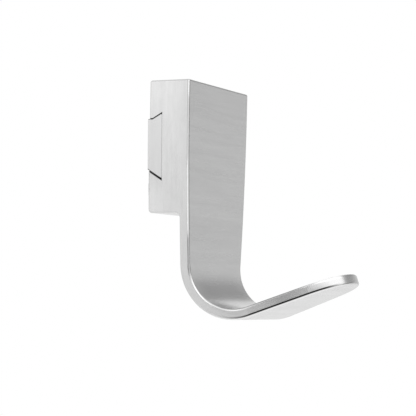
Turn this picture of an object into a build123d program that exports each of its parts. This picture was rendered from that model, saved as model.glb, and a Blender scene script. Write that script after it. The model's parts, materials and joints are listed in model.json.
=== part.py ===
# A wall hook of brushed stainless steel. One piece makes the block, the strap below it, the bend and
# the rising arm. It slides sideways onto a dovetail plate that is screwed to the wall, and a set
# screw from below clamps it there.
#
# The wall is the plane Y = 0 and the hook stands out of it towards -Y, with +Z up. The origin is on
# the wall, midway between the plate's two screw holes. Depths are counted from the wall, and a run
# is a length along the hook's front face from the block's top edge.

import os
from math import cos, radians, sin, sqrt, tan

from build123d import *

# Hook body
block_width = 36.0
block_height = 35.3
front_depth = 12.2
strap_thickness = 2.85
strap_drop = 48.8
bend_radius = 11.45
arm_rise = 20.6
arm_length = 26.1
side_radius = 535.0
edge_radius = 0.55
rear_corner_radius = 0.9
inner_corner_radius = 1.3

# The block's back stands off the wall, more above the groove than below it. Each lip of the groove
# ends in a flat land, which runs this deep from the wall; the plate's upper flank has the same land.
upper_stand_off = 0.35
lower_stand_off = 0.05
upper_land = 1.4
lower_land = 0.3

# Wall plate
plate_thickness = 4.15
plate_front_height = 17.2
flank_angle = 30.0
plate_edge = 0.25
screw_spacing = 18.0
screw_hole_radius = 2.25
screw_head_radius = 4.3
screw_head_angle = 90.0

# Play between the groove and the plate: the body hangs with its groove close above the plate, and
# both gaps close in towards the wall
upper_play = 0.3
upper_land_play = 0.12
lower_play = 0.5
lower_land_play = 0.2
front_play = 0.05

# Set screw, from the wall to its axis, and the hole it is driven into
set_screw_from_wall = 3.6
thread_radius = 2.0
thread_play = 0.03
hole_chamfer = 0.3
set_screw_length = 8.0
set_screw_chamfer = 0.35
socket_across_flats = 2.0
socket_depth = 2.5
point_angle = 90.0
point_radius = 0.2
point_play = 0.15

# Depths and heights that follow from the sizes above
flank_slope = tan(radians(flank_angle))
strap_rear_depth = front_depth - strap_thickness
groove_depth = plate_thickness + front_play
top_height = (block_height + upper_play - lower_play) / 2
bottom_height = top_height - block_height
bend_height = top_height - strap_drop

# The bend, and the round end of the arm: its arc touches both side arcs of the flat blank, so its
# radius follows from how far the nose comes
bend_angle = 90.0 + arm_rise
bend_run = bend_radius * radians(bend_angle)
bend_sections = 5
arm_run = strap_drop + bend_run
nose_run = arm_run + arm_length
side_centre = side_radius - block_width / 2
nose_radius = (side_radius**2 - nose_run**2 - side_centre**2) / (2 * (side_radius - nose_run))
nose_centre = arm_length - nose_radius


# Half of the body's width at a run. Each side of the flat blank is one long arc, which starts
# upright at the top edge and leans in towards the tip.
def half_width(run):
    return sqrt(side_radius**2 - run**2) - side_centre


# Half of the plate's height at a depth: the plate is widest at its front
def plate_half(depth):
    return plate_front_height / 2 - (plate_thickness - depth) * flank_slope


# The plate's upper land stands a little above where its flank would meet it
upper_land_height = plate_half(upper_land) + upper_play - upper_land_play


# The middle of the strap's thickness at an angle round the bend, with Z along the strap
def bend_plane(angle):
    turn = radians(angle)
    radius = bend_radius + strap_thickness / 2
    depth = front_depth + bend_radius - radius * cos(turn)
    return Plane(
        origin=(0, -depth, bend_height - radius * sin(turn)),
        x_dir=(1, 0, 0),
        z_dir=(0, -sin(turn), -cos(turn)),
    )


# The block and the strap seen from the front, also the outline of the plate's ends
with BuildSketch(Plane.XZ) as front_outline:
    with BuildLine():
        for side in (-1, 1):
            ThreePointArc(
                (side * half_width(0), top_height),
                (side * half_width(strap_drop / 2), top_height - strap_drop / 2),
                (side * half_width(strap_drop), bend_height),
            )
        for run in (0, strap_drop):
            Line((-half_width(run), top_height - run), (half_width(run), top_height - run))
    make_face()

# Hook body
with BuildPart() as hook_body:
    # Block and strap, seen from the side, with the groove's lips blunted by a land each
    with BuildSketch(Plane.YZ):
        with BuildLine():
            Polyline(
                (-upper_stand_off, top_height),
                (-front_depth, top_height),
                (-front_depth, bend_height),
                (-strap_rear_depth, bend_height),
                (-strap_rear_depth, bottom_height),
                (-lower_stand_off, bottom_height),
                (-lower_stand_off, 0),
                (-upper_stand_off, 0),
                close=True,
            )
        make_face()
        with BuildLine():
            Polyline(
                (0, upper_land_height + upper_land_play),
                (-upper_land, upper_land_height + upper_land_play),
                (-groove_depth, plate_half(groove_depth) + upper_play),
                (-groove_depth, -plate_half(groove_depth) - lower_play),
                (-lower_land, -plate_half(lower_land) - lower_land_play),
                (0, -plate_half(lower_land) - lower_land_play),
                close=True,
            )
        make_face(mode=Mode.SUBTRACT)
    extrude(amount=block_width, both=True)
    extrude(front_outline.sketch, amount=front_depth, mode=Mode.INTERSECT)

    # Bend, narrowing evenly as it turns
    with BuildLine() as bend_line:
        ThreePointArc(*(bend_plane(bend_angle * share).origin for share in (0, 0.5, 1)))
    for section in range(bend_sections):
        angle = bend_angle * section / (bend_sections - 1)
        with BuildSketch(bend_plane(angle)):
            Rectangle(2 * half_width(strap_drop + bend_radius * radians(angle)), strap_thickness)
    sweep(path=bend_line.line, multisection=True)

    # Arm, drawn on its own middle plane with Y along it
    arm_end = bend_plane(bend_angle)
    with BuildSketch(Plane(arm_end.origin, x_dir=(1, 0, 0), z_dir=-arm_end.y_dir)):
        with BuildLine():
            root = half_width(arm_run)
            reach = nose_radius / (side_radius - nose_radius)
            touch_x = side_centre * reach
            touch_y = nose_centre + (nose_centre + arm_run) * reach
            middle = half_width(arm_run + touch_y / 2)
            Line((-root, 0), (root, 0))
            for side in (-1, 1):
                ThreePointArc((side * root, 0), (side * middle, touch_y / 2), (side * touch_x, touch_y))
            ThreePointArc((-touch_x, touch_y), (0, arm_length), (touch_x, touch_y))
        make_face()
    extrude(amount=strap_thickness / 2, both=True)

    # Corners behind: the hollow one under the block, then the block's lower rear one
    under_block = hook_body.faces().filter_by(Axis.Z).sort_by(Axis.Z)[0]
    rear_edge, inner_edge = under_block.edges().filter_by(Axis.X).sort_by(Axis.Y, reverse=True)
    fillet(inner_edge, inner_corner_radius)
    under_block = hook_body.faces().filter_by(Axis.Z).sort_by(Axis.Z)[0]
    rear_edge = under_block.edges().filter_by(Axis.X).sort_by(Axis.Y)[-1]
    fillet(rear_edge, rear_corner_radius)

    # Every outer edge is rounded: from each seed the rounding runs on along what it is tangent to
    front, strap_rear, groove, *block_rear = hook_body.faces().filter_by(Axis.Y).group_by(Axis.Y)
    seeds = hook_body.faces().sort_by(Axis.Z)[-1].edges()
    for faces in (front, strap_rear, *block_rear):
        seeds += faces.edges().filter_by(GeomType.CIRCLE)
    fillet(seeds, edge_radius)

    # Hole for the set screw, up into the groove
    with BuildSketch(Plane.XY.offset(bottom_height)):
        with Locations((0, -set_screw_from_wall)):
            Circle(thread_radius)
    extrude(amount=-bottom_height - plate_half(0), mode=Mode.SUBTRACT)
    mouth = hook_body.edges().filter_by(GeomType.CIRCLE).filter_by(
        lambda edge: abs(edge.arc_center.Z - bottom_height) < hole_chamfer / 4
        and abs(edge.radius - thread_radius) < hole_chamfer / 4
    )
    chamfer(mouth, hole_chamfer)
hook_body.part.label = "hook_body"

# Wall plate, its ends cut flush with the block's sides
with BuildPart() as wall_plate:
    with BuildSketch(Plane.YZ):
        with BuildLine():
            Polyline(
                (0, upper_land_height),
                (-upper_land, upper_land_height),
                (-plate_thickness, plate_half(plate_thickness)),
                (-plate_thickness, -plate_half(plate_thickness)),
                (0, -plate_half(0)),
                close=True,
            )
        make_face()
    extrude(amount=block_width, both=True)
    extrude(front_outline.sketch, amount=plate_thickness, mode=Mode.INTERSECT)
    fillet(wall_plate.edges().filter_by(Axis.X), plate_edge)
    with Locations(Plane((0, -plate_thickness, 0), x_dir=(1, 0, 0), z_dir=(0, -1, 0))):
        with GridLocations(screw_spacing, 0, 2, 1):
            CounterSinkHole(
                screw_hole_radius,
                screw_head_radius,
                depth=plate_thickness,
                counter_sink_angle=screw_head_angle,
            )
wall_plate.part.label = "wall_plate"

# Set screw: its cone point stands just under the plate's lower flank, and a hexagon socket is in
# its lower end
with BuildPart() as set_screw:
    body_radius = thread_radius - thread_play
    point_height = -plate_half(set_screw_from_wall + point_radius) - point_play
    cone_height = (body_radius - point_radius) / tan(radians(point_angle / 2))
    foot_height = point_height - set_screw_length
    with BuildSketch(Plane.XZ.offset(set_screw_from_wall)):
        with BuildLine():
            Polyline(
                (0, foot_height),
                (body_radius - set_screw_chamfer, foot_height),
                (body_radius, foot_height + set_screw_chamfer),
                (body_radius, point_height - cone_height),
                (point_radius, point_height),
                (0, point_height),
                close=True,
            )
        make_face()
    revolve(axis=Axis((0, -set_screw_from_wall, 0), (0, 0, 1)))
    with BuildSketch(Plane.XY.offset(foot_height)):
        with Locations((0, -set_screw_from_wall)):
            RegularPolygon(socket_across_flats / 2, 6, major_radius=False)
    extrude(amount=socket_depth, mode=Mode.SUBTRACT)
set_screw.part.label = "set_screw"

os.makedirs("parts", exist_ok=True)
for piece in (hook_body, wall_plate, set_screw):
    export_step(piece.part, f"parts/{piece.part.label}.step")
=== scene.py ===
# A wall hook of brushed stainless steel, hung on its dovetail plate, in soft studio light
import json

import bpy
import numpy as np
from mathutils import Matrix, Vector

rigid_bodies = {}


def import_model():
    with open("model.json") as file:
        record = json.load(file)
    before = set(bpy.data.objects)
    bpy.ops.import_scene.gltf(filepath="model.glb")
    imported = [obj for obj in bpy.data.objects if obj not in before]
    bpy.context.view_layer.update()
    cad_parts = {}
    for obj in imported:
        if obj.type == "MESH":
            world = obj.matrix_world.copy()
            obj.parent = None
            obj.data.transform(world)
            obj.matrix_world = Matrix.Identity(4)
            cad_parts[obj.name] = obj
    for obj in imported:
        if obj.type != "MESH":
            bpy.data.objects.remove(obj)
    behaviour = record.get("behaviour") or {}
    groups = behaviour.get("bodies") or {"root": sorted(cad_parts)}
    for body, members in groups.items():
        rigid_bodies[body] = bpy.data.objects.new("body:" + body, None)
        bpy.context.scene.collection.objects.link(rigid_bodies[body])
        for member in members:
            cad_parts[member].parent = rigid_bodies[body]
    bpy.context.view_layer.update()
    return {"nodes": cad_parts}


for thing in list(bpy.data.objects):
    bpy.data.objects.remove(thing)
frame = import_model()
mm = 0.001
print("frame loaded:", ", ".join(sorted(frame["nodes"])))


# Shader maths: a wrapped socket takes part in Python expressions, and each operator adds its Math node
class Wire:
    def __init__(self, graph, socket):
        self.graph = graph
        self.socket = socket

    def maths(self, operation, *values):
        return self.graph.add("ShaderNodeMath", {"operation": operation}, dict(enumerate(values)))

    def __add__(self, other):
        return self.maths("ADD", self, other)

    def __sub__(self, other):
        return self.maths("SUBTRACT", self, other)

    def __mul__(self, other):
        return self.maths("MULTIPLY", self, other)

    def __pow__(self, other):
        return self.maths("POWER", self, other)

    def __rsub__(self, other):
        return self.maths("SUBTRACT", other, self)

    def __neg__(self):
        return self * -1.0

    __radd__ = __add__
    __rmul__ = __mul__

    def absolute(self):
        return self.maths("ABSOLUTE", self)

    def atMost(self, other):
        return self.maths("MINIMUM", self, other)

    def atLeast(self, other):
        return self.maths("MAXIMUM", self, other)

    def angleOver(self, other):
        return self.maths("ARCTAN2", self, other)

    def above(self, low, high):  # 0 below low, 1 above high, smooth between
        settings = {"interpolation_type": "SMOOTHSTEP"}
        inputs = {"Value": self, "From Min": low, "From Max": high}
        return self.graph.add("ShaderNodeMapRange", settings, inputs)

    def below(self, low, high):  # 1 below low, 0 above high, smooth between
        return 1 - self.above(low, high)


class Graph:
    def __init__(self, name):
        self.material = bpy.data.materials.new(name)
        self.material.use_nodes = True
        self.nodes = self.material.node_tree.nodes
        self.links = self.material.node_tree.links
        self.nodes.clear()

    # Adds one node: its settings come first, then the values or links of its sockets
    def add(self, kind, settings=None, inputs=None, output=0):
        node = self.nodes.new(kind)
        for name, value in (settings or {}).items():
            setattr(node, name, value)
        for name, value in (inputs or {}).items():
            if isinstance(value, Wire):
                self.links.new(value.socket, node.inputs[name])
            else:
                node.inputs[name].default_value = value
        if len(node.outputs):
            return Wire(self, node.outputs[output])

    # The three numbers of one of Texture Coordinate's outputs
    def parts(self, output):
        vector = self.add("ShaderNodeTexCoord", output=output)
        node = self.add("ShaderNodeSeparateXYZ", None, {"Vector": vector}).socket.node
        return [Wire(self, socket) for socket in node.outputs]

    def place(self):  # on the object, in metres
        return self.parts(3)

    def facing(self):  # how far the surface faces sideways, and how far up or down, from 0 to 1
        normal = self.parts(1)
        return normal[0].absolute(), normal[2].absolute()

    def noise(self, x, y, z, detail=2.0, roughness=0.5):
        vector = self.add("ShaderNodeCombineXYZ", None, {"X": x, "Y": y, "Z": z})
        inputs = {"Vector": vector, "Scale": 1.0, "Detail": detail, "Roughness": roughness}
        return self.add("ShaderNodeTexNoise", {"noise_dimensions": "3D"}, inputs)

    def mix(self, factor, first, second):
        settings = {"data_type": "RGBA", "blend_type": "MIX"}
        node = self.add("ShaderNodeMix", settings).socket.node
        self.links.new(factor.socket, node.inputs["Factor"])
        for socket, value in zip([s for s in node.inputs if s.type == "RGBA"], (first, second)):
            if isinstance(value, Wire):
                self.links.new(value.socket, socket)
            else:
                socket.default_value = value
        return Wire(self, [s for s in node.outputs if s.type == "RGBA"][0])

    def toned(self, value, tone):  # a grey of that value, times a tone that varies
        inputs = {0: grey(value)[:3], "Scale": tone}
        return self.add("ShaderNodeVectorMath", {"operation": "SCALE"}, inputs)

    # The end of a material: one shader, linked to the output
    def close(self, kind, inputs):
        shader = self.add(kind, None, inputs)
        self.add("ShaderNodeOutputMaterial", None, {"Surface": shader})
        return self.material

    # The end of a steel, with its scratches or turned rings as a shallow relief
    def closeSteel(self, colour, metallic, roughness, relief, look):
        bump = {"Strength": look["reliefStrength"], "Distance": look["reliefDepth"], "Height": relief}
        surface = {
            "Base Color": colour,
            "Metallic": metallic,
            "Roughness": roughness,
            "Specular IOR Level": look["specular"],
            "Normal": self.add("ShaderNodeBump", None, bump),
        }
        return self.close("ShaderNodeBsdfPrincipled", surface)


def grey(value):
    return (value, value, value, 1)


def blend(first, second, share):
    return first * (1 - share) + second * share


# How far a surface faces a way before it counts as facing it
facingLimits = {
    "side": (0.6, 0.8),  # the flat sides, against their rounded edges
    "flank": (0.4, 0.6),  # the dovetail's flanks, against upright faces, and the sides beside its groove
}

# Brushing in one direction, as noise that changes fast across it and slowly along it. Numbers are
# changes per metre, unless noted. The offsets keep flat faces off the noise's own lattice planes.
grain = {
    "streaksAcross": 380,
    "streaksInwards": 420,
    "streakDetail": (4.0, 0.7),  # octaves, and how strong each is against the one before
    "scratchesAcross": 2600,
    "scratchesAlong": 60,
    "scratchesInwards": 2600,
    "scratchDetail": (3.0, 0.6),
    "offsetAlong": 0.3,
    "offsetInwards": 0.43,
    "depthShare": 0.2,  # how much a depth below a flat brushed face counts
}


# Layers are streaks that the eye sees, each with a seed, its changes along the brushing and its share.
# The fine scratches are for the relief, and they take the last layer's seed.
def brushed(g, across, along, inwards, layers):
    streaks = []
    for seed, changes, share in layers:
        place = (
            across * grain["streaksAcross"] + seed,
            along * changes + grain["offsetAlong"],
            inwards * grain["streaksInwards"] + grain["offsetInwards"],
        )
        streaks.append(g.noise(*place, *grain["streakDetail"]) * share)
    scratches = g.noise(
        across * grain["scratchesAcross"] + seed,
        along * grain["scratchesAlong"] + grain["offsetAlong"],
        inwards * grain["scratchesInwards"] + grain["offsetInwards"],
        *grain["scratchDetail"],
    )
    return sum(streaks), scratches


# The two gaps beside the plate as the sides show them, from the wall outwards, and the painted shade
# beside them. Each gap has the height of its middle at the wall, its slope, how far it runs level
# first, and half the width that the painted shade darkens.
gaps = {
    "lower": (-6.30 * mm, -0.613, 0.0, 0.37 * mm),
    "upper": (7.25 * mm, 0.546, 1.4 * mm, 0.22 * mm),
    "fades": (0.75, 1.15),  # in those half widths
    "endDepth": 4.22 * mm,
    "endFades": 0.1 * mm,
}


def shadeBesideGaps(y, z, side):
    depth = -y
    darkened = []
    for height, slope, level, half in (gaps["lower"], gaps["upper"]):
        away = (z - height - (depth - level).atLeast(0.0) * slope).absolute()
        darkened.append(away.below(*(half * share for share in gaps["fades"])))
    lower, upper = darkened
    inside = depth.below(gaps["endDepth"], gaps["endDepth"] + gaps["endFades"])
    return lower.atLeast(upper) * side * inside


# Hook body, in greys from 0 to 1. A mark or a tone is there past the first pair of numbers of each of
# its measures and before the second pair, and None leaves that end open. The measures are "along",
# down the front from the bend's start and on along the arm, and negative above the bend; "behind", from
# the front or inner face; "across", from the middle of the width, all three in millimetres; and
# "sideways" and "upwards", which say how far the surface faces there.
hook = {
    "bendRadius": 11.45 * mm,
    "bendDepth": -23.65 * mm,
    "bendHeight": -31.25 * mm,
    "armRise": 20.6,  # degrees
    "colour": 0.60,
    "roughness": 0.26,
    "roughnessVaries": 0.08,
    "specular": 0.05,
    "reliefStrength": 0.05,
    "reliefDepth": 0.02 * mm,
    "faceStreaks": 0.32,
    "faceGrain": ((3.1, 12, 0.55), (8.3, 75, 0.45)),  # seed, changes per metre along it, share
    "sideStreaks": 0.42,
    "sideGrain": ((7.7, 17, 0.55), (2.9, 150, 0.45)),
    # Tones: the grey is multiplied by 1 plus the amounts of those that reach the place. All are painted
    # light and shade: the first is on the front and inner face, and the others are on the sides.
    # Painted reflection: the bend's inner face lighter towards both edges
    "bendPaintedLight": {"amount": 0.14, "across": ((8, 16), None), "along": ((1, 7), (12, 18))},
    "sideTones": {
        # Painted light and shade: the sides lighter at the lower rear and darker at the top front
        "lowRearLight": {"amount": 0.10, "along": ((-24, -16), None), "behind": ((3, 11), None)},
        "topFrontShade": {"amount": -0.05, "along": (None, (-44, -28)), "behind": (None, (0, 8))},
        # Painted reflections on the arm's sides: darker, then a painted highlight up to the round end,
        # then darker low on the round end
        "armShade": {"amount": -0.12, "along": ((28, 32), (32.5, 36.5))},
        "armHighlight": {"amount": 0.10, "along": ((34, 38.8), (38.8, 39.8))},  # up to the round end
        "roundEndShade": {
            "amount": -0.13,
            "along": ((38.8, 40.4), (44, 45.6)),
            "behind": ((0.9, 1.9), None),
        },
    },
    # Marks, each painted over the ones before it in its own grey: painted highlights and painted dark
    # reflections on the edges and their roundings
    "marks": {
        # Painted highlights along the rounded edges of the block, the strap and the bend, where the
        # edges catch the light
        "topEdgeHighlight": {
            "colour": 0.97,
            "amount": 0.8,
            "patchy": True,
            "along": ((-50.5, -47.5), (-46, -43)),
            "behind": (None, (0.8, 1.2)),
            "sideways": ((0.54, 0.70), (0.82, 0.98)),
            "upwards": (None, (0.3, 0.5)),
        },
        "strapEdgeHighlight": {
            "colour": 0.97,
            "amount": 0.65,
            "patchy": True,
            "along": ((-29.5, -24.5), (-11, -6)),
            "behind": (None, (0.8, 1.2)),
            "sideways": ((0.65, 0.67), (0.975, 0.995)),
            "upwards": (None, (0.3, 0.5)),
        },
        "bendEdgeHighlight": {
            "colour": 0.97,
            "amount": 0.85,
            "along": ((3.5, 8.5), (18.5, 23.5)),
            "behind": (None, (0.45, 0.6)),
            "sideways": ((0.68, 0.72), (0.95, 0.99)),
        },
        # Painted dark reflection on the front edge's rounding, where the strap meets the bend
        "edgeDarkReflection": {
            "colour": 0.36,
            "amount": 1.0,
            "along": ((-8.7, -5.7), (1.3, 4.3)),
            "behind": (None, (0.8, 1.2)),
            "sideways": ((0.67, 0.69), (0.975, 0.995)),
            "upwards": (None, (0.3, 0.5)),
        },
        # Painted reflections on the arm's upper roundings: dark near the bend and a painted highlight
        # towards the tip
        "armLipShade": {  # the rounding between the arm's inner face and its sides
            "colour": 0.42,
            "amount": 1.0,
            "along": ((22, 28), (35, 41)),
            "behind": (None, (0.45, 0.75)),
            "sideways": ((0.25, 0.3), None),
        },
        "tipLipHighlight": {
            "colour": 0.97,
            "amount": 1.0,
            "along": ((36, 43.5), (46.2, 47.3)),
            "behind": (None, (0.45, 0.75)),
            "sideways": ((0.25, 0.3), None),
        },
        # Painted highlight on the lower rounding, from the bend onwards
        "lowerRoundingHighlight": {
            "colour": 0.78,
            "amount": 1.0,
            "along": ((11, 19), None),
            "behind": ((2.5, 2.62), None),
            "sideways": ((0.1, 0.3), None),
        },
        # Painted dark reflection, as a line along the arm's sides
        "darkReflectionLine": {  # along the arm's sides, just above their lower rounding
            "colour": 0.03,
            "amount": 1.0,
            "along": ((14, 24), (43, 47.5)),
            "behind": ((2.01, 2.13), (2.44, 2.56)),
        },
    },
    # Patches make some painted edge highlights uneven
    "patchesAcross": 30,  # changes per metre
    "patchesAlong": 260,
    "patchSeed": 4.4,
    "patchLimits": (0.1, 0.5),
    "patchLeast": 0.5,
    # The unbrushed groove inside the block, with painted shade: dark on its flanks and low on its floor
    "grooveShadeColour": 0.08,
    "grooveRoughness": 0.6,
    "grooveDepth": 4.35 * mm,
    "grooveHalfHeight": 9.3 * mm,
    "grooveFades": 0.1 * mm,
    "grooveMouth": (-0.6 * mm, -0.45 * mm),  # nearer the wall than this is the block's back
    "grooveFloor": (-9 * mm, -2 * mm),  # dark below the first height and light above the second
}


# Place on the hook as if it were straightened: how far along the strap and how far behind its front
# or inner face. Beyond the ends of the bend the straight runs are taken off first, and what is left is
# read as an angle and a radius about the bend's centre.
def unrolled(y, z, look):
    rise = np.radians(look["armRise"])
    outward, upward = -float(np.cos(rise)), float(np.sin(rise))
    depth = y - look["bendDepth"]
    height = z - look["bendHeight"]
    aboveBend = height.atLeast(0.0)
    low = height.atMost(0.0)
    alongArm = (depth * outward + low * upward).atLeast(0.0)
    turnedDepth = depth - alongArm * outward
    turnedHeight = low - alongArm * upward
    radius = (turnedDepth * turnedDepth + turnedHeight * turnedHeight) ** 0.5
    angle = (-turnedHeight).angleOver(turnedDepth)
    along = angle * look["bendRadius"] + alongArm - aboveBend
    return along, radius - look["bendRadius"]


# A mark's or tone's mask: its amount, times a smooth step up and a smooth step down for each measure
def masked(measures, mark):
    mask = mark["amount"]
    for name, measure in measures.items():
        unit = 1 if name in ("sideways", "upwards") else mm
        rise, fall = mark.get(name, (None, None))
        if rise:
            mask = mask * measure.above(rise[0] * unit, rise[1] * unit)
        if fall:
            mask = mask * measure.below(fall[0] * unit, fall[1] * unit)
    return mask


# Painted shade in the groove: on its flanks, and on its floor inside the mouth and low down
def inGroove(y, z, sideways, upwards, look):
    depth, half, soft = look["grooveDepth"], look["grooveHalfHeight"], look["grooveFades"]
    flank = upwards.above(*facingLimits["flank"])
    mask = y.above(-depth, soft - depth) * z.absolute().below(half, half + soft)
    mask = mask * sideways.below(*facingLimits["flank"])
    mask = mask * flank.atLeast(y.below(*look["grooveMouth"]))
    return mask * flank.atLeast(z.below(*look["grooveFloor"]))


def hookSteel(name, look):
    g = Graph(name)
    x, y, z = g.place()
    sideways, upwards = g.facing()
    along, behind = unrolled(y, z, look)
    measures = {
        "along": along,
        "behind": behind,
        "across": x.absolute(),
        "sideways": sideways,
        "upwards": upwards,
    }
    side = sideways.above(*facingLimits["side"])
    faceSoft, faceFine = brushed(g, along, x, behind * grain["depthShare"], look["faceGrain"])
    sideSoft, sideFine = brushed(g, behind, along, x * grain["depthShare"], look["sideGrain"])
    fine = blend(faceFine, sideFine, side)
    faceTone = (faceSoft - 0.5) * look["faceStreaks"] + masked(measures, look["bendPaintedLight"])
    sideTone = (sideSoft - 0.5) * look["sideStreaks"]
    sideTone = sideTone + sum(masked(measures, tone) for tone in look["sideTones"].values())
    steel = g.toned(look["colour"], 1 + blend(faceTone, sideTone, side))
    patchy = g.noise(x * look["patchesAcross"], along * look["patchesAlong"], look["patchSeed"])
    patchy = patchy.above(*look["patchLimits"]) * (1 - look["patchLeast"]) + look["patchLeast"]
    for mark in look["marks"].values():
        mask = masked(measures, mark)
        if mark.get("patchy"):
            mask = mask * patchy
        steel = g.mix(mask, steel, grey(mark["colour"]))
    # Painted shade in the groove and beside the gaps: dark grey and not metal
    dark = inGroove(y, z, sideways, upwards, look).atLeast(shadeBesideGaps(y, z, side))
    colour = g.mix(dark, steel, grey(look["grooveShadeColour"]))
    rough = (fine - 0.5) * look["roughnessVaries"] + look["roughness"]
    rough = blend(rough, look["grooveRoughness"], dark)
    return g.closeSteel(colour, 1 - dark, rough, fine, look)


# Wall plate: brushed on its ends and its front, turned in and round its countersinks, and unbrushed
# on its flanks, which have painted shade, as do the bands beside the gaps
plate = {
    "colour": 0.60,
    "streaks": 0.15,
    "faceGrain": ((1.7, 17, 1.0),),
    "sideGrain": ((5.3, 60, 1.0),),
    "roughness": 0.28,
    "roughnessVaries": 0.04,
    "specular": 0.05,
    "reliefStrength": 0.05,
    "reliefDepth": 0.02 * mm,
    "flankShadeColour": 0.15,
    "flankRoughness": 0.25,  # added to the roughness
    "holeSpacing": 18 * mm,
    "turnedRadius": 4.4 * mm,
    "turnedFades": 0.15 * mm,
    "ringsOutwards": 3200,  # changes per metre
    "ringsInwards": 900,
    "ringDetail": (3.0, 0.6),
}


def plateSteel(name, look):
    g = Graph(name)
    x, y, z = g.place()
    sideways, upwards = g.facing()
    side = sideways.above(*facingLimits["side"])
    faceSoft, faceFine = brushed(g, z, x, y, look["faceGrain"])
    sideSoft, sideFine = brushed(g, y, z, x * grain["depthShare"], look["sideGrain"])
    # The turned rings go by the distance from the nearer screw hole's axis
    offCentre = x.absolute() - look["holeSpacing"] / 2
    radius = (offCentre * offCentre + z * z) ** 0.5
    turned = radius.below(look["turnedRadius"] - look["turnedFades"], look["turnedRadius"]) * (1 - side)
    rings = g.noise(radius * look["ringsOutwards"], y * look["ringsInwards"], 0.0, *look["ringDetail"])
    fine = blend(blend(faceFine, sideFine, side), rings, turned)
    steel = g.toned(look["colour"], (blend(faceSoft, sideSoft, side) - 0.5) * look["streaks"] + 1)
    # Painted shade on the flanks, away from the countersinks, and beside the gaps
    flank = upwards.above(*facingLimits["flank"]) * (1 - turned)
    dark = flank.atLeast(shadeBesideGaps(y, z, side))
    colour = g.mix(dark, steel, grey(look["flankShadeColour"]))
    rough = (fine - 0.5) * look["roughnessVaries"] + look["roughness"] + dark * look["flankRoughness"]
    return g.closeSteel(colour, 1 - dark, rough, fine, look)


# Set screw: turned, with faint stains
setScrew = {
    "colour": 0.42,
    "roughness": 0.34,
    "roughnessVaries": 0.12,
    "specular": 0.5,
    "reliefStrength": 0.1,
    "reliefDepth": 0.03 * mm,
    "axisDepth": 3.6 * mm,  # from the wall
    "ringsOutwards": 4200,  # changes per metre
    "ringsUpwards": 2600,
    "ringDetail": (3.0, 0.6),
    "stains": 700,
    "stainLimits": (0.35, 0.7),
    "stainedColour": 0.336,
}


def screwSteel(name, look):
    g = Graph(name)
    x, y, z = g.place()
    depth = y + look["axisDepth"]
    radius = (x * x + depth * depth) ** 0.5
    turned = g.noise(radius * look["ringsOutwards"], z * look["ringsUpwards"], 0.0, *look["ringDetail"])
    stains = g.noise(*(part * look["stains"] for part in (x, y, z)))
    colour = g.mix(stains.above(*look["stainLimits"]), grey(look["colour"]), grey(look["stainedColour"]))
    rough = (turned - 0.5) * look["roughnessVaries"] + look["roughness"]
    return g.closeSteel(colour, 1.0, rough, turned, look)


frame["nodes"]["hook_body"].data.materials[0] = hookSteel("brushed hook steel", hook)
frame["nodes"]["wall_plate"].data.materials[0] = plateSteel("brushed plate steel", plate)
frame["nodes"]["set_screw"].data.materials[0] = screwSteel("turned screw steel", setScrew)
print("steel done")


def addObject(name, data):
    thing = bpy.data.objects.new(name, data)
    bpy.context.scene.collection.objects.link(thing)
    return thing


# Unit vectors from azimuths and elevations in radians: azimuth 0 points towards -Y and a quarter turn
# towards +X
def compass(azimuth, elevation):
    flat = np.cos(elevation)
    parts = np.broadcast_arrays(np.sin(azimuth) * flat, -np.cos(azimuth) * flat, np.sin(elevation))
    return np.stack(parts, -1)


# The camera, solved together with the hook's proportions from its outline in the photograph. It stands
# to the left of the hook and a little below its middle, looks slightly upwards and is rolled a little.
camera = {
    "azimuth": -63.160,  # degrees from straight in front
    "elevation": -2.939,
    "roll": 1.253,
    "across": -8.044 * mm,  # where the origin stands in the view, from the view's middle
    "up": 15.477 * mm,
    "distance": 443.75 * mm,
    "focal": 1609.2,  # in pixels of the photograph
    "frameWidth": 416,
    "sensorWidth": 36,  # in millimetres, as Blender has it
    "clipStart": 10 * mm,
}


def placeCamera(settings):
    azimuth, elevation, roll = np.radians([settings[name] for name in ("azimuth", "elevation", "roll")])
    back = Vector(compass(azimuth, elevation))
    right = (-back).cross(Vector((0, 0, 1))).normalized()
    up = back.cross(right)
    turnedRight = right * np.cos(roll) + up * np.sin(roll)
    turnedUp = up * np.cos(roll) - right * np.sin(roll)
    place = back * settings["distance"] - turnedRight * settings["across"] - turnedUp * settings["up"]
    data = bpy.data.cameras.new("camera")
    data.sensor_width = settings["sensorWidth"]
    data.lens = settings["focal"] * settings["sensorWidth"] / settings["frameWidth"]
    data.clip_start = settings["clipStart"]
    thing = addObject("camera", data)
    turn = Matrix((turnedRight, turnedUp, back)).transposed().to_4x4()
    thing.matrix_world = Matrix.Translation(place) @ turn
    bpy.context.scene.camera = thing


placeCamera(camera)
print("camera placed")

studio = {
    "centre": (0, -20 * mm, -15 * mm),
    "floorHeight": -0.50,
    "floorWidth": 4.0,
    "floorColour": 0.98,
    "worldStrength": 1.0,
    "cardSteps": (33, 17),  # points across and up each curved card
}
softboxes = {  # azimuth and elevation of the middle, distance, width, height, brightness
    "key softbox": (-14, 33, 0.9, 0.9, 0.5, 0.75),
    "rear softbox": (-126, 20, 0.9, 0.6, 0.45, 0.42),
    "low softbox": (-124, 0, 0.9, 0.5, 0.25, 0.10),
    "edge softbox": (-62, 6, 0.9, 0.5, 0.12, 0.35),
}
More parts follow.
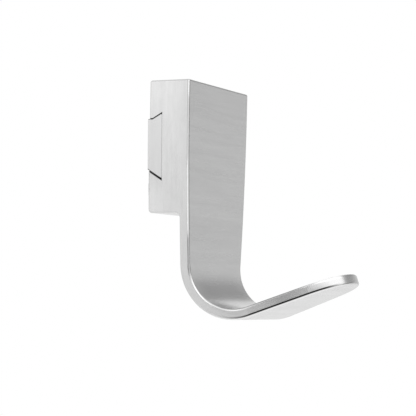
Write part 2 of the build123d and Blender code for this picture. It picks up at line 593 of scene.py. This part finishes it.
# Cards seen only in reflections: azimuths, elevations, distance, whether the brightness turns with the
# azimuth or with the elevation, the angles at which the turn starts and ends, and the brightness there
cards = {
    "right card": ((18, 98), (-14, 50), 0.8, "elevation", (8, 24), (0.785, 0.43)),
    "left strip": ((-99, -92), (-30, 50), 0.7, "elevation", (0, 10), (0.08, 0.08)),
    "left glow": ((-84, -40), (12, 50), 0.8, "azimuth", (-84, -40), (1.0, 1.55)),
    "front gap": ((8, 48), (-16, 11), 0.75, "elevation", (-2, 3), (0.4, 0.02)),
    "back glow": ((100, 142), (-38, 8), 0.8, "elevation", (0, 10), (0.97, 0.97)),
}
# A level card below the hook: its edges left and right, front and back, its height and its brightness
lowCard = {
    "across": (-0.045, 0.45),
    "back": (-0.05, 0.42),
    "height": -0.2,
    "brightness": 1.05,
}


# A grid of points becomes one surface: each point, the next one and the two above them make a quad
def addGrid(name, points):
    rows, columns = points.shape[:2]
    corner = (np.arange(rows - 1)[:, None] * columns + np.arange(columns - 1)).reshape(-1, 1)
    quads = corner + np.array([0, 1, columns + 1, columns])
    mesh = bpy.data.meshes.new(name)
    mesh.from_pydata(points.reshape(-1, 3).tolist(), [], quads.tolist())
    return addObject(name, mesh)


# A level rectangle: every pair of an edge across and an edge back, at one height
def addLevel(name, across, back, height):
    x, y = np.meshgrid(across, back)
    return addGrid(name, np.stack([x, y, np.full_like(x, height)], -1))


def onlyReflected(thing):
    thing.visible_camera = False
    thing.visible_diffuse = False
    thing.visible_shadow = False


# A piece of a sphere about the studio's centre: the centre plus the distance times the unit vector at
# each azimuth and elevation. Its brightness turns smoothly from the first value to the second.
def addCard(name, azimuths, elevations, distance, turning, turns, glows):
    across, upwards = studio["cardSteps"]
    azimuth, elevation = np.meshgrid(np.linspace(*azimuths, across), np.linspace(*elevations, upwards))
    direction = compass(np.radians(azimuth), np.radians(elevation))
    thing = addGrid(name, np.array(studio["centre"]) + distance * direction)
    angle = {"azimuth": azimuth, "elevation": elevation}[turning]
    share = np.clip((angle - turns[0]) / (turns[1] - turns[0]), 0, 1)
    share = share * share * (3 - 2 * share)
    thing.data.attributes.new("share", "FLOAT", "POINT").data.foreach_set("value", share.ravel())
    g = Graph(name)
    turned = g.add("ShaderNodeAttribute", {"attribute_name": "share"}, output=2)
    brightest = max(glows)
    colour = g.mix(turned, *(grey(glow / brightest) for glow in glows))
    thing.data.materials.append(g.close("ShaderNodeEmission", {"Color": colour, "Strength": brightest}))
    onlyReflected(thing)


# A rectangular lamp that faces the studio's centre; its power grows with its area
def addSoftbox(name, azimuth, elevation, distance, width, height, brightness):
    data = bpy.data.lights.new(name, "AREA")
    data.shape = "RECTANGLE"
    data.size = width
    data.size_y = height
    data.energy = brightness * width * height * np.pi
    thing = addObject(name, data)
    direction = Vector(compass(*np.radians([azimuth, elevation])))
    turn = direction.to_track_quat("Z", "Y").to_matrix().to_4x4()
    thing.matrix_world = Matrix.Translation(Vector(studio["centre"]) + direction * distance) @ turn
    thing.visible_camera = False


half = studio["floorWidth"] / 2
floor = addLevel("floor", (-half, half), (-half, half), studio["floorHeight"])
paper = {"Color": grey(studio["floorColour"])}
floor.data.materials.append(Graph("white paper").close("ShaderNodeBsdfDiffuse", paper))

low = addLevel("bright low card", lowCard["across"], lowCard["back"], lowCard["height"])
glow = {"Strength": lowCard["brightness"]}
low.data.materials.append(Graph("bright low card").close("ShaderNodeEmission", glow))
onlyReflected(low)

for name, values in softboxes.items():
    addSoftbox(name, *values)
for name, values in cards.items():
    addCard(name, *values)

world = bpy.data.worlds.new("studio")
bpy.context.scene.world = world
world.use_nodes = True
backgroundNode = world.node_tree.nodes["Background"]
backgroundNode.inputs["Color"].default_value = grey(1)
backgroundNode.inputs["Strength"].default_value = studio["worldStrength"]
bpy.context.scene.view_settings.view_transform = "Standard"
print("studio lit")
